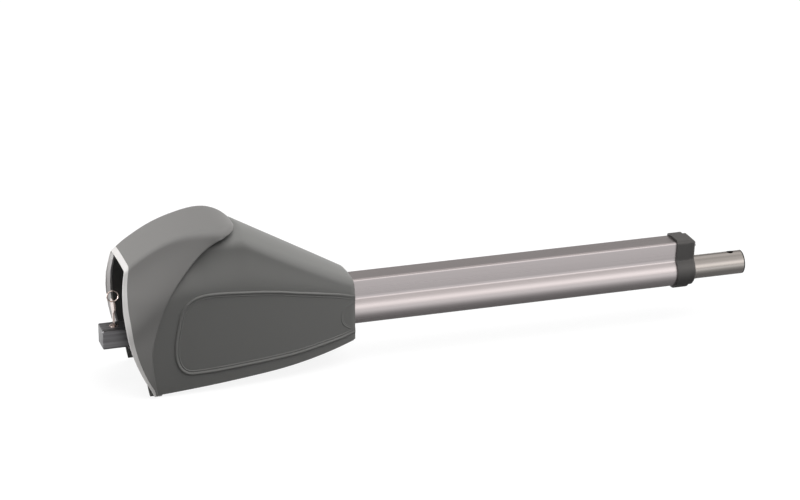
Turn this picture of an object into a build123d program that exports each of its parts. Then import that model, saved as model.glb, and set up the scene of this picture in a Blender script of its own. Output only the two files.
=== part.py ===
from build123d import *
from math import acos, cos, pi, radians, sin, tan
import os

os.makedirs("parts", exist_ok=True)

# Swing gate opener with a lead screw that pushes a telescopic rod. Millimetres.
# X runs along the screw from the tail to the rod's tip, Z is up, and the origin is where the
# vertical axis of the rear pivot crosses the axis of the screw.

# Fits
run_gap = 0.05
seat_gap = 0.3
cut_margin = 20.0

# Tail bar with the rear pivot and the release lock
tail_end = -27.0
bar_width = 28.0
bar_height = 24.0
bar_round = 2.0
pivot_radius = 6.0
pivot_depth = 16.0
lock_radius = 5.5
lock_height = 13.0
lock_proud = 0.8
lock_bite = 0.7
tail_flange_x = 24.0
tail_flange_thick = 6.0
flange_screw_y = 25.0
flange_screw_z = 27.5
tail_flange_size = 62.0
tail_screw_pitch = 48.0
tail_screw_radius = 3.0
screw_head_height = 4.0
thread_depth = 9.0

# Release key and its ring
key_thick = 2.0
key_blade_width = 6.0
key_blade_depth = 9.0
key_stem_width = 5.0
key_stem_height = 17.0
key_bow_width = 20.0
key_bow_height = 16.0
key_hole_radius = 1.3
ring_wire_radius = 0.8
ring_radius = 6.8

# Gear case behind the screw
case_rear = tail_flange_x + tail_flange_thick
case_wall = 12.0
case_depth = 36.0
case_cover_thick = 12.0
case_skin = 4.0
case_clearance = 5.0
gasket_thick = 0.8
case_screw_radius = 2.0
case_side_screw_y = 31.0
case_side_screw_z = 50.0
foot_length = 22.0
foot_width = 84.0
foot_thick = 4.0

# Gears: tooth counts, modules and widths
screw_teeth = 41
idler_small_teeth = 16
idler_large_teeth = 38
motor_teeth = 15
slow_module = 1.5
fast_module = 1.25
slow_width = 10.0
fast_width = 8.0
pressure_angle = radians(20)
backlash = 0.12
idler_shaft_radius = 5.0
idler_bush_radius = 8.0
gear_seat_radius = 10.0
motor_shaft_radius = 4.0

# Motor above the profile tube
motor_radius = 31.0
motor_length = 84.0
motor_wall = 2.5
motor_bearing_radius = 11.0
motor_bearing_width = 7.0
motor_bolt_radius = 2.0
motor_bolt_circle = 23.0
end_cap_length = 12.0
core_radius = 19.0
core_length = 46.0
stator_bore_gap = 0.6
capacitor_radius = 12.5
capacitor_length = 62.0
clip_width = 12.0
capacitor_x = 90.0
capacitor_y = 39.0
terminal_x = 112.0
terminal_length = 30.0
terminal_width = 24.0
terminal_height = 16.0
gland_x = 140.0
gland_radius = 8.0

# Lead screw, nut and rod
stroke = 350.0
screw_radius = 9.0
screw_tip_space = 15.0
rear_journal_radius = 7.5
front_journal_radius = 8.5
bearing_radius = 17.5
bearing_width = 9.0
nut_start_gap = 10.0
nut_length = 36.0
nut_flange = 8.0
rod_radius = 15.0
rod_bore_radius = 11.5
rod_tip = 800.5
rod_hole_from_tip = 15.5
rod_hole_radius = 4.25
rod_plug_length = 40.0
guide_length = 30.0
collar_radius = 11.0
flange_half = 33.0
flange_thick = 6.0

# Keyhole-shaped profile tube
lobe_radius = 20.4
tube_wall = 2.8
waist_half = 13.2
waist_height = 19.0
tube_top_half = 15.2
tube_top = 41.5
waist_fillet = 4.0
tube_corner = 2.5
tube_end = 716.0
screw_port_radius = 1.7

# Front cap
cap_rear = 705.5
cap_step = 722.0
cap_front = 731.0
cap_proud = 2.9
cap_nose_inset = 2.3
cap_bevel = 2.2
bush_length = 26.0
seal_length = 6.0
seal_radius = 18.0

# Housing: hood at the rear, cover in front of it and a tray below
shell_wall = 2.5
side_half = 65.5
hood_front = 139.0
hood_peak_x = 114.0
hood_peak = 137.0
hood_rear_top = 96.0
hood_rear_x = -1.0
hood_shoulder_rear = 38.5
hood_shoulder_front = 50.0
hood_crown_drop = 1.5
trim_depth = 5.5
cover_front = 280.0
cover_front_top = 48.0
cover_break_x = 143.0
cover_break_top = 125.3
cover_front_half = 32.0
cover_shoulder_rear = 46.0
cover_shoulder_front = 29.5
crown_curve = 0.004
side_break_x = 60.0
flare_top = 63.0
flare_top_front = 26.0
bottom_rear = -57.5
bottom_slope = 0.07
bottom_sweep = 10.7
bottom_sweep_x = 170.0
seam_lip = 9.0
hood_gap = 0.8
tray_gap = 0.4
tray_thick = 2.5
tray_lip = 9.0
tray_drop = 1.5
tray_rear = 24.0
tray_front = 268.0
floor_gap = 0.1
hood_screw_radius = 2.0
hood_screw_head = 3.6
hood_screw_x = 30.0
hood_screw_y = 54.0
hood_screw_length = 10.0
hood_boss_size = 10.0

# Worked out from the values above
lock_x = -(lock_radius + pivot_radius - lock_bite)
case_low_radius = slow_module * (screw_teeth + 2) / 2 + case_clearance + case_skin
case_high_radius = motor_radius + 2.0
slow_centre = slow_module * (screw_teeth + idler_small_teeth) / 2
fast_centre = fast_module * (idler_large_teeth + motor_teeth) / 2
idler_z = slow_centre
motor_z = slow_centre + fast_centre
case_inside = case_rear + case_wall
case_front = case_rear + case_depth
cover_back = case_front + gasket_thick
case_cover_front = cover_back + case_cover_thick
bore_radius = lobe_radius - tube_wall
nut_start = case_cover_front + nut_start_gap
screw_tip = nut_start + stroke + nut_length + screw_tip_space
slow_x = case_inside + 2.5
fast_x = slow_x + slow_width + 2.0
rod_start = nut_start + nut_flange
motor_front = case_cover_front + motor_length
stator_x = case_cover_front + 12.0
screw_ports = [(side * (tube_top_half - 6.2), tube_top - 6.2) for side in (-1, 1)]
flange_screw_places = [
    (across * flange_screw_y, up * flange_screw_z) for across in (-1, 1) for up in (-1, 1)
]
motor_bolt_places = [
    (motor_bolt_circle * cos(radians(a)), motor_z + motor_bolt_circle * sin(radians(a)))
    for a in (45, 135, 225, 315)
]


def part_file(builder, name):
    """Label a finished piece and write its STEP file."""
    builder.part.label = name
    export_step(builder.part, f"parts/{name}.step")


def tube_outline(grow=0.0):
    """Keyhole outline of the profile tube, grown outwards by one distance."""
    waist = waist_half + grow
    with BuildSketch() as outline:
        Circle(lobe_radius + grow)
        with BuildLine():
            Polyline(
                (-tube_top_half - grow, tube_top + grow),
                (-waist, waist_height),
                (-waist, 0),
                (waist, 0),
                (waist, waist_height),
                (tube_top_half + grow, tube_top + grow),
                close=True,
            )
        make_face()
        neck = outline.vertices().filter_by_position(Axis.Y, lobe_radius / 2, waist_height - 1)
        fillet(neck, waist_fillet - grow)
        fillet(outline.vertices().group_by(Axis.Y)[-1], tube_corner + grow)
    return outline.sketch


def gear_outline(teeth, module, bore, phase):
    """Involute spur gear face: straight pieces between points that lie on the involute."""
    pitch = module * teeth / 2
    base = pitch * cos(pressure_angle)
    tip = pitch + module
    root = pitch - 1.25 * module
    flank_start = max(base, root + 0.2 * module)
    inv_pitch = tan(pressure_angle) - pressure_angle
    half_tooth = pi / (2 * teeth) - backlash / (2 * pitch)

    def half_angle(radius):
        angle = acos(min(1.0, base / radius))
        return half_tooth + inv_pitch - (tan(angle) - angle)

    radii = [flank_start, (flank_start + pitch) / 2, pitch, (pitch + tip) / 2, tip]
    points = []
    for tooth in range(teeth):
        middle = phase + 2 * pi * tooth / teeth
        foot = half_angle(flank_start)
        points.append((root, middle - foot))
        points += [(radius, middle - half_angle(radius)) for radius in radii]
        points += [(radius, middle + half_angle(radius)) for radius in reversed(radii)]
        points.append((root, middle + foot))
    with BuildSketch() as face:
        with BuildLine():
            Polyline(*[(r * cos(a), r * sin(a)) for r, a in points], close=True)
        make_face()
        Circle(bore, mode=Mode.SUBTRACT)
    return face.sketch


def case_outline(grow=0.0):
    """Egg-shaped outline of the gear case: two circles and their tangents."""
    with BuildSketch() as outline:
        Circle(case_low_radius + grow)
        with Locations((0, motor_z)):
            Circle(case_high_radius + grow)
        make_hull()
    return outline.sketch


def case_screw_places():
    """Places of the gear case screws, in the case's own plane."""
    circle = case_low_radius - 2 * case_screw_radius
    low_places = [(circle * cos(radians(a)), circle * sin(radians(a))) for a in (-150, -90, -30)]
    return low_places + [(side * case_side_screw_y, case_side_screw_z) for side in (-1, 1)]


def ring(x, outer, inner, length, z=0.0):
    """Plain ring or bearing about an axis along X."""
    with BuildPart() as piece:
        with BuildSketch(Plane.YZ.offset(x)):
            with Locations((0, z)):
                Circle(outer)
                Circle(inner, mode=Mode.SUBTRACT)
        extrude(amount=length)
    return piece.part


def screw_along_x(head_x, places, radius, length, head_radius, head_height, facing=1):
    """Group of like screws whose heads sit on the plane x = head_x and point along facing."""
    with BuildPart() as group:
        with BuildSketch(Plane.YZ.offset(head_x)):
            with Locations(*places):
                Circle(head_radius)
        extrude(amount=facing * head_height)
        with BuildSketch(Plane.YZ.offset(head_x)):
            with Locations(*places):
                Circle(radius)
        extrude(amount=-facing * length)
    return group.part


def hood_crown(x):
    """Height of the hood's top on its middle line."""
    if x <= hood_peak_x:
        along = (hood_peak_x - x) / (hood_peak_x - hood_rear_x)
        return hood_peak - (hood_peak - hood_rear_top) * along**2.3
    along = (x - hood_peak_x) / (hood_front - hood_peak_x)
    return hood_peak - (hood_peak - cover_break_top) * along**2.6


def flare_base(x):
    """Height at which the side wall turns from upright to leaning inwards."""
    if x < 76:
        return flare_top * sin(pi / 2 * (x + 18) / 94)
    along = (x - 76) / (cover_front - 76)
    return flare_top - (flare_top - flare_top_front) * along**1.9


def hood_section(x, inset=0.0):
    """Cross-section of the hood at station x, drawn smaller by inset."""
    nose = max(0.0, (x - 104) / (hood_front - 104))
    rise = min(1.0, max(0.0, (x + 14) / (hood_peak_x + 14)))
    shoulder = hood_shoulder_rear + (hood_shoulder_front - hood_shoulder_rear) * rise**2
    shoulder *= 1 - 0.72 * nose**2.2
    wide = side_half * (1 - 0.42 * nose**2.2)
    return shell_section(x, wide, shoulder, hood_crown(x), hood_crown_drop, inset, 7.0)


def cover_half(x):
    """Half-width of the cover's upright side."""
    along = max(0.0, (x - side_break_x) / (cover_front - side_break_x))
    start = side_half - shell_wall - hood_gap
    return start - (start - cover_front_half) * along**1.9


def cover_crown(x):
    """Height of the cover's top on its middle line."""
    slope = (cover_break_top - cover_front_top) / (cover_front - cover_break_x)
    line = cover_break_top - slope * (x - cover_break_x)
    hidden = hood_crown(min(x, hood_peak_x)) - shell_wall - hood_crown_drop - hood_gap
    return min(line, hidden, cover_break_top)


def cover_section(x, inset=0.0):
    """Cross-section of the front cover at station x, drawn smaller by inset."""
    rise = min(1.0, max(0.0, (x + 14) / (hood_peak_x + 14)))
    under_hood = hood_shoulder_rear + (hood_shoulder_front - hood_shoulder_rear) * rise**2
    along = max(0.0, (x - cover_break_x) / (cover_front - cover_break_x))
    shoulder = cover_shoulder_rear - (cover_shoulder_rear - cover_shoulder_front) * along**2
    shoulder = min(shoulder, under_hood - shell_wall - hood_gap)
    drop = crown_curve * shoulder**2
    return shell_section(x, cover_half(x), shoulder, cover_crown(x), drop, inset, 6.0)


def bottom_height(x):
    """Height of the housing's bottom edge, which rises faster towards the front."""
    sweep = max(0.0, (x - bottom_sweep_x) / (cover_front - bottom_sweep_x))
    return bottom_rear + bottom_slope * max(0.0, x - tray_rear) + bottom_sweep * sweep**2


def tray_floor(x):
    """Height of the tray's floor inside the housing."""
    return bottom_height(x) - tray_drop + tray_thick


def shell_section(x, wide, shoulder, crown, drop, inset, corner):
    """Closed outline of a moulded shell: upright side, leaning flare, shoulder and crown."""
    low = bottom_rear - cut_margin - inset
    wide = wide - inset
    shoulder = shoulder - inset
    crown = crown - inset
    base = min(flare_base(x), crown - 18)
    edge = crown - drop
    with BuildSketch(Plane.YZ.offset(x)) as face:
        with BuildLine():
            floor_line = Line((-wide, low), (wide, low))
            right_side = Line(floor_line @ 1, (wide, base))
            right_flare = Spline(
                right_side @ 1,
                (shoulder, edge),
                tangents=[(0, 1), (-0.22, 1)],
            )
            crown_arc = ThreePointArc(right_flare @ 1, (0, crown), (-shoulder, edge))
            left_flare = Spline(
                crown_arc @ 1,
                (-wide, base),
                tangents=[(-0.22, -1), (0, -1)],
            )
            Line(left_flare @ 1, floor_line @ 0)
        make_face()
        fillet(face.vertices().group_by(Axis.Y)[-1], corner)
    return face.sketch


def side_block(curve, far_x):
    """Block right across the housing, from a side-view curve out to the upright at far_x."""
    with BuildPart() as block:
        with BuildSketch(Plane.XZ):
            with BuildLine():
                edge = Spline(*curve)
                Polyline(edge @ 1, (far_x, (edge @ 1).Y), (far_x, (edge @ 0).Y), edge @ 0)
            make_face()
        extrude(amount=2 * side_half, both=True)
    return block.part


# Side-view curves of the housing, from the bottom upwards
rim_curve = [(26.0, -61.0), (8.0, -31.0), (-5.0, 3.0), (-10.5, 42.0), (-8.8, 68.0), (2.0, 140.0)]
seam_curve = [
    (27.0, -61.0),
    (20.8, -24.0),
    (25.0, 17.0),
    (40.5, 60.0),
    (69.0, 96.0),
    (104.0, 115.5),
    (150.0, 121.5),
]
trim_curve = [(x + trim_depth, z) for x, z in rim_curve]
lip_curve = [(x - seam_lip, z + 3.0) for x, z in seam_curve]
far_front = cover_front + cut_margin
far_rear = -60.0


def spread(start, end, count):
    """Evenly spaced stations, both ends included."""
    return [start + (end - start) * i / (count - 1) for i in range(count)]


# Block below the housing's bottom edge, which rises towards the front
with BuildPart() as below_housing:
    with BuildSketch(Plane.XZ):
        with BuildLine():
            straight = Line((far_rear, bottom_rear), (tray_rear, bottom_rear))
            slope = Line(straight @ 1, (bottom_sweep_x, bottom_height(bottom_sweep_x)))
            sweep = Spline(*[(x, bottom_height(x)) for x in spread(bottom_sweep_x, far_front, 5)])
            Polyline(sweep @ 1, (far_front, -2 * side_half), (far_rear, -2 * side_half), straight @ 0)
        make_face()
    extrude(amount=2 * side_half, both=True)

# Rear hood and its edge trim
with BuildPart() as hood_shell:
    hood_stations = spread(-16, hood_front, 7)
    loft(sections=[hood_section(x) for x in hood_stations])
    loft(sections=[hood_section(x, shell_wall) for x in hood_stations], mode=Mode.SUBTRACT)
    add(below_housing.part, mode=Mode.SUBTRACT)
    add(side_block(seam_curve, far_front), mode=Mode.SUBTRACT)

with BuildPart() as rear_hood:
    add(hood_shell.part)
    add(side_block(trim_curve, far_rear), mode=Mode.SUBTRACT)
part_file(rear_hood, "rear_hood")

with BuildPart() as rear_trim:
    add(hood_shell.part)
    add(side_block(trim_curve, far_front), mode=Mode.SUBTRACT)
    add(side_block(rim_curve, far_rear), mode=Mode.SUBTRACT)
part_file(rear_trim, "rear_trim")

# Front cover with its front wall
with BuildPart() as front_cover:
    loft(sections=[cover_section(x) for x in spread(8, cover_front, 8)])
    inside_stations = spread(8, cover_front - shell_wall, 8)
    loft(sections=[cover_section(x, shell_wall) for x in inside_stations], mode=Mode.SUBTRACT)
    add(below_housing.part, mode=Mode.SUBTRACT)
    add(side_block(lip_curve, far_rear), mode=Mode.SUBTRACT)
    with BuildSketch(Plane.YZ.offset(cover_front - cut_margin)):
        add(tube_outline(seat_gap))
    extrude(amount=2 * cut_margin, mode=Mode.SUBTRACT)
    boss_foot = tray_floor(hood_screw_x + hood_boss_size / 2) + floor_gap
    boss_edge = cover_half(hood_screw_x) - shell_wall / 2
    for side in (-1, 1):
        with BuildSketch(Plane.XY.offset(boss_foot)):
            with Locations((hood_screw_x, side * (boss_edge - hood_boss_size / 2))):
                Rectangle(hood_boss_size, hood_boss_size)
            with Locations((hood_screw_x, side * hood_screw_y)):
                Circle(hood_boss_size / 2)
                Circle(hood_screw_radius, mode=Mode.SUBTRACT)
        extrude(amount=hood_screw_length)
part_file(front_cover, "front_cover")

# Bottom tray between the sides of the cover
tray_stations = spread(tray_rear, tray_front, 7)


def tray_prism(rise, side_gap, height):
    """Block over the tray's plan shape, its underside following the housing's bottom edge."""
    half_width = [(x, cover_half(x) - shell_wall - side_gap) for x in tray_stations]
    profile = [(x, bottom_height(x) - tray_drop + rise) for x in tray_stations]
    with BuildPart() as block:
        with BuildSketch(Plane.XZ):
            with BuildLine():
                under = Spline(*profile)
                Line(under @ 1, under @ 1 + (0, height))
                upper = Spline(*[(x, z + height) for x, z in profile])
                Line(under @ 0, upper @ 0)
            make_face()
        extrude(amount=side_half, both=True)
        with BuildSketch(Plane.XY.offset(-2 * side_half)):
            with BuildLine():
                far_edge = Spline(*half_width)
                near_edge = Spline(*[(x, -y) for x, y in half_width])
                Line(far_edge @ 0, near_edge @ 0)
                Line(far_edge @ 1, near_edge @ 1)
            make_face()
        extrude(amount=4 * side_half, mode=Mode.INTERSECT)
    return block.part


gland_floor = tray_floor(gland_x)
with BuildPart() as bottom_tray:
    add(tray_prism(0, tray_gap, tray_lip))
    add(tray_prism(tray_thick, tray_gap + tray_thick, tray_lip), mode=Mode.SUBTRACT)
    corner = 2 * hood_boss_size
    with BuildSketch(Plane.XY.offset(boss_foot - floor_gap / 2)):
        with Locations(*[(hood_screw_x - 5, side * (hood_screw_y + 5)) for side in (-1, 1)]):
            Rectangle(corner + 4, corner)
    extrude(amount=tray_lip + 2, mode=Mode.SUBTRACT)
    with Locations(*[(hood_screw_x, side * hood_screw_y, gland_floor) for side in (-1, 1)]):
        Hole(hood_screw_radius + run_gap)
    with Locations((gland_x, 0, gland_floor)):
        Hole(gland_radius)
part_file(bottom_tray, "bottom_tray")

head_top = bottom_height(hood_screw_x - hood_screw_head) - tray_drop - floor_gap
with BuildPart() as hood_screws:
    with BuildSketch(Plane.XY.offset(head_top)):
        with Locations(*[(hood_screw_x, side * hood_screw_y) for side in (-1, 1)]):
            Circle(hood_screw_head)
    extrude(amount=-2)
    with BuildSketch(Plane.XY.offset(head_top)):
        with Locations(*[(hood_screw_x, side * hood_screw_y) for side in (-1, 1)]):
            Circle(hood_screw_radius)
    extrude(amount=hood_screw_length + tray_thick)
part_file(hood_screws, "hood_screws")

# Tail bar: the block that the rear bracket's pin enters from below
with BuildPart() as tail_bar:
    with BuildSketch(Plane.YZ.offset(tail_end)):
        RectangleRounded(bar_width, bar_height, bar_round)
    extrude(amount=tail_flange_x - tail_end)
    chamfer(tail_bar.faces().sort_by(Axis.X)[0].edges(), 0.8)
    with BuildSketch(Plane.YZ.offset(tail_flange_x)):
        RectangleRounded(tail_flange_size, tail_flange_size, 8)
        with GridLocations(tail_screw_pitch, tail_screw_pitch, 2, 2):
            Circle(tail_screw_radius, mode=Mode.SUBTRACT)
    extrude(amount=tail_flange_thick)
    with BuildSketch(Plane.XY.offset(-bar_height / 2)):
        Circle(pivot_radius)
    extrude(amount=pivot_depth, mode=Mode.SUBTRACT)
    with BuildSketch(Plane.XY.offset(bar_height / 2 - lock_height)):
        with Locations((lock_x, 0)):
            Circle(lock_radius + run_gap)
    extrude(amount=lock_height, mode=Mode.SUBTRACT)
part_file(tail_bar, "tail_bar")

tail_screw_places = [(y, z) for y in (-0.5, 0.5) for z in (-0.5, 0.5)]
tail_screw_places = [(y * tail_screw_pitch, z * tail_screw_pitch) for y, z in tail_screw_places]
with BuildPart() as tail_screws:
    add(
        screw_along_x(
            tail_flange_x,
            tail_screw_places,
            tail_screw_radius,
            tail_flange_thick + case_wall - 2,
            tail_screw_radius + 2,
            screw_head_height,
            -1,
        )
    )
part_file(tail_screws, "tail_screws")

# Release lock: turned a quarter, the barrel's full flank holds the groove of the bracket's pin
lock_top = bar_height / 2 + lock_proud
lock_foot = bar_height / 2 - lock_height + run_gap
with BuildPart() as lock_barrel:
    with BuildSketch(Plane.XY.offset(lock_foot)):
        with Locations((lock_x, 0)):
            Circle(lock_radius)
    extrude(amount=lock_top - lock_foot)
    chamfer(lock_barrel.faces().sort_by(Axis.Z)[-1].edges(), 0.4)
    with BuildSketch(Plane.XY.offset(lock_foot)):
        Circle(pivot_radius + seat_gap)
    extrude(amount=pivot_depth - bar_height / 2 - lock_foot + seat_gap, mode=Mode.SUBTRACT)
    with BuildSketch(Plane.XY.offset(lock_top)):
        with Locations((lock_x, 0)):
            Rectangle(key_thick + 2 * run_gap, key_blade_width + 2 * run_gap)
    extrude(amount=-key_blade_depth, mode=Mode.SUBTRACT)
part_file(lock_barrel, "lock_barrel")

key_bow_base = lock_top + key_stem_height
key_hole_z = key_bow_base + key_bow_height - 3
with BuildPart() as release_key:
    with BuildSketch(Plane.YZ.offset(lock_x - key_thick / 2)):
        with Locations((0, lock_top - key_blade_depth / 2 + run_gap)):
            Rectangle(key_blade_width, key_blade_depth)
        with Locations((0, lock_top + key_stem_height / 2)):
            Rectangle(key_stem_width, key_stem_height + 2)
        with Locations((0, key_bow_base + key_bow_height / 2)):
            RectangleRounded(key_bow_width, key_bow_height, key_bow_height / 2 - 0.5)
        with Locations((0, key_hole_z)):
            Circle(key_hole_radius, mode=Mode.SUBTRACT)
    extrude(amount=key_thick)
part_file(release_key, "release_key")

with BuildPart() as key_ring:
    with Locations((lock_x, 0, key_hole_z + ring_radius)):
        Torus(ring_radius, ring_wire_radius, rotation=(90, 0, 0))
part_file(key_ring, "key_ring")

# Gear case, its feet, gasket and cover
with BuildPart() as gear_case:
    with BuildSketch(Plane.YZ.offset(case_rear)):
        add(case_outline())
    extrude(amount=case_depth)
    with BuildSketch(Plane.YZ.offset(case_inside)):
        add(case_outline(-case_skin))
    extrude(amount=case_depth, mode=Mode.SUBTRACT)
    with BuildSketch(Plane.YZ.offset(case_inside)):
        with Locations(*case_screw_places()):
            Circle(2 * case_screw_radius)
    extrude(amount=case_depth - case_wall)
    with BuildSketch(Plane.YZ.offset(case_inside - bearing_width)):
        Circle(bearing_radius)
        with Locations((0, idler_z)):
            Circle(idler_bush_radius)
    extrude(amount=bearing_width, mode=Mode.SUBTRACT)
    with BuildSketch(Plane.YZ.offset(case_rear)):
        with GridLocations(tail_screw_pitch, tail_screw_pitch, 2, 2):
            Circle(tail_screw_radius)
    extrude(amount=case_wall - 2, mode=Mode.SUBTRACT)
    foot_x = (case_rear + case_front) / 2
    foot_z = tray_floor(foot_x + foot_length / 2) + floor_gap
    with BuildSketch(Plane.XY.offset(foot_z)):
        with Locations((foot_x, 0)):
            Rectangle(foot_length, foot_width)
            with GridLocations(foot_length - 8, foot_width - 12, 2, 2):
                Circle(2.5, mode=Mode.SUBTRACT)
    extrude(amount=foot_thick)
    with BuildSketch(Plane.XY.offset(foot_z)):
        with Locations((foot_x, 0)):
            Rectangle(foot_length, foot_width / 2)
    extrude(amount=-foot_z - case_low_radius + case_skin)
    with BuildSketch(Plane.YZ.offset(case_front - 10)):
        with Locations(*case_screw_places()):
            Circle(case_screw_radius)
    extrude(amount=10, mode=Mode.SUBTRACT)
part_file(gear_case, "gear_case")

with BuildPart() as case_gasket:
    with BuildSketch(Plane.YZ.offset(case_front)):
        add(case_outline())
        add(case_outline(-case_skin), mode=Mode.SUBTRACT)
        with Locations(*case_screw_places()):
            Circle(case_screw_radius, mode=Mode.SUBTRACT)
    extrude(amount=gasket_thick)
part_file(case_gasket, "case_gasket")

with BuildPart() as case_cover:
    with BuildSketch(Plane.YZ.offset(cover_back)):
        add(case_outline())
        Circle(bearing_radius, mode=Mode.SUBTRACT)
        with Locations((0, motor_z)):
            Circle(motor_shaft_radius + 1, mode=Mode.SUBTRACT)
        with Locations(*case_screw_places()):
            Circle(case_screw_radius, mode=Mode.SUBTRACT)
    extrude(amount=case_cover_thick)
    with BuildSketch(Plane.YZ.offset(cover_back)):
        with Locations((0, idler_z)):
            Circle(idler_bush_radius)
    extrude(amount=bearing_width, mode=Mode.SUBTRACT)
    with BuildSketch(Plane.YZ.offset(case_cover_front - motor_bearing_width)):
        with Locations((0, motor_z)):
            Circle(motor_bearing_radius)
    extrude(amount=motor_bearing_width, mode=Mode.SUBTRACT)
    with BuildSketch(Plane.YZ.offset(case_cover_front - thread_depth)):
        with Locations(*flange_screw_places, *motor_bolt_places):
            Circle(case_screw_radius)
    extrude(amount=thread_depth, mode=Mode.SUBTRACT)
part_file(case_cover, "case_cover")

with BuildPart() as case_screws:
    add(
        screw_along_x(
            case_cover_front,
            case_screw_places(),
            case_screw_radius,
            case_cover_thick + gasket_thick + 8,
            2 * case_screw_radius,
            screw_head_height,
        )
    )
part_file(case_screws, "case_screws")

# Bearings and bushes that stay in the case
bearings = {
    "screw_rear_bearing": (case_inside - bearing_width, bearing_radius, rear_journal_radius, bearing_width, 0),
    "screw_front_bearing": (cover_back, bearing_radius, front_journal_radius, case_cover_thick, 0),
    "idler_rear_bush": (
        case_inside - bearing_width, idler_bush_radius, idler_shaft_radius, bearing_width, idler_z
    ),
    "idler_front_bush": (cover_back, idler_bush_radius, idler_shaft_radius, bearing_width, idler_z),
    "motor_rear_bearing": (
        case_cover_front - motor_bearing_width,
        motor_bearing_radius,
        motor_shaft_radius,
        motor_bearing_width,
        motor_z,
    ),
    "motor_front_bearing": (
        motor_front - end_cap_length, motor_bearing_radius, motor_shaft_radius, motor_bearing_width, motor_z
    ),
}
for name, (x, outer, shaft, length, z) in bearings.items():
    with BuildPart() as bearing:
        add(ring(x, outer, shaft + run_gap, length, z))
    part_file(bearing, name)

# Motor: can, stator, end cap with its bearing
with BuildPart() as motor_housing:
    with BuildSketch(Plane.YZ.offset(case_cover_front)):
        with Locations((0, motor_z)):
            Circle(motor_radius)
            with PolarLocations(motor_radius, 24):
                Circle(0.9, mode=Mode.SUBTRACT)
    extrude(amount=motor_length - end_cap_length)
    with BuildSketch(Plane.YZ.offset(case_cover_front)):
        with Locations((0, motor_z)):
            Circle(motor_radius - motor_wall)
    extrude(amount=motor_length, mode=Mode.SUBTRACT)
part_file(motor_housing, "motor_housing")

with BuildPart() as motor_stator:
    add(ring(stator_x, motor_radius - motor_wall, core_radius + stator_bore_gap, core_length, motor_z))
    with BuildSketch(Plane.YZ.offset(stator_x)):
        with Locations(*motor_bolt_places):
            Circle(motor_bolt_radius + run_gap)
    extrude(amount=core_length, mode=Mode.SUBTRACT)
part_file(motor_stator, "motor_stator")

with BuildPart() as motor_end_cap:
    with BuildSketch(Plane.YZ.offset(motor_front - end_cap_length)):
        with Locations((0, motor_z)):
            Circle(motor_radius)
    extrude(amount=end_cap_length)
    fillet(motor_end_cap.faces().sort_by(Axis.X)[-1].edges(), 4)
    with BuildSketch(Plane.YZ.offset(motor_front - end_cap_length)):
        with Locations((0, motor_z)):
            Circle(motor_bearing_radius)
    extrude(amount=motor_bearing_width, mode=Mode.SUBTRACT)
    with BuildSketch(Plane.YZ.offset(motor_front - end_cap_length)):
        with Locations(*motor_bolt_places):
            Circle(motor_bolt_radius + run_gap)
    extrude(amount=end_cap_length, mode=Mode.SUBTRACT)
part_file(motor_end_cap, "motor_end_cap")

with BuildPart() as motor_bolts:
    add(
        screw_along_x(
            motor_front,
            motor_bolt_places,
            motor_bolt_radius,
            motor_length + thread_depth - 1,
            2 * motor_bolt_radius,
            3,
        )
    )
part_file(motor_bolts, "motor_bolts")

with BuildPart() as rotor_shaft:
    with BuildSketch(Plane.YZ.offset(fast_x - 1)):
        with Locations((0, motor_z)):
            Circle(motor_shaft_radius)
    extrude(amount=motor_front - end_cap_length + motor_bearing_width - 0.5 - fast_x + 1)
part_file(rotor_shaft, "rotor_shaft")

with BuildPart() as rotor_core:
    add(ring(stator_x, core_radius, motor_shaft_radius, core_length, motor_z))
part_file(rotor_core, "rotor_core")

# Gears, in mesh at rest along the line of centres
up = pi / 2
gears = {
    "screw_gear": (slow_x, screw_teeth, slow_module, gear_seat_radius, up, 0.0, slow_width),
    "idler_pinion": (
        slow_x,
        idler_small_teeth,
        slow_module,
        idler_shaft_radius,
        up + pi / idler_small_teeth,
        idler_z,
        slow_width + 1,
    ),
    "idler_gear": (fast_x, idler_large_teeth, fast_module, idler_shaft_radius, up, idler_z, fast_width),
    "motor_pinion": (fast_x, motor_teeth, fast_module, motor_shaft_radius, up, motor_z, fast_width),
}
for name, (x, teeth, module, bore, phase, z, width) in gears.items():
    with BuildPart() as gear:
        with BuildSketch(Plane.YZ.offset(x)):
            with Locations((0, z)):
                add(gear_outline(teeth, module, bore, phase))
        extrude(amount=width)
    part_file(gear, name)

with BuildPart() as idler_shaft:
    with BuildSketch(Plane.YZ.offset(case_inside - bearing_width + seat_gap)):
        with Locations((0, idler_z)):
            Circle(idler_shaft_radius)
    extrude(amount=cover_back + bearing_width - case_inside + bearing_width - 2 * seat_gap)
part_file(idler_shaft, "idler_shaft")

# Lead screw with its journals and collar
with BuildPart() as lead_screw:
    for start, end, radius in (
        (case_inside - bearing_width + seat_gap, case_inside + seat_gap, rear_journal_radius),
        (case_inside + seat_gap, fast_x - 0.5, gear_seat_radius),
        (fast_x - 0.5, case_cover_front + seat_gap, front_journal_radius),
        (case_cover_front + seat_gap, nut_start - 4, collar_radius),
        (nut_start - 4, screw_tip, screw_radius),
    ):
        with BuildSketch(Plane.YZ.offset(start)):
            Circle(radius)
        extrude(amount=end - start)
    chamfer(lead_screw.faces().sort_by(Axis.X)[-1].edges(), 2)
part_file(lead_screw, "lead_screw")

with BuildPart() as gear_circlip:
    add(ring(slow_x + slow_width, gear_seat_radius + 2, gear_seat_radius, 1.2))
part_file(gear_circlip, "gear_circlip")

# Nut, its guide and the push rod
with BuildPart() as drive_nut:
    with BuildSketch(Plane.YZ.offset(nut_start)):
        Circle(bore_radius - seat_gap)
    extrude(amount=nut_flange)
    with BuildSketch(Plane.YZ.offset(nut_start + nut_flange)):
        Circle(rod_bore_radius)
    extrude(amount=nut_length - nut_flange)
    with BuildSketch(Plane.YZ.offset(nut_start)):
        Circle(screw_radius + run_gap)
    extrude(amount=nut_length, mode=Mode.SUBTRACT)
part_file(drive_nut, "drive_nut")

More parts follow.
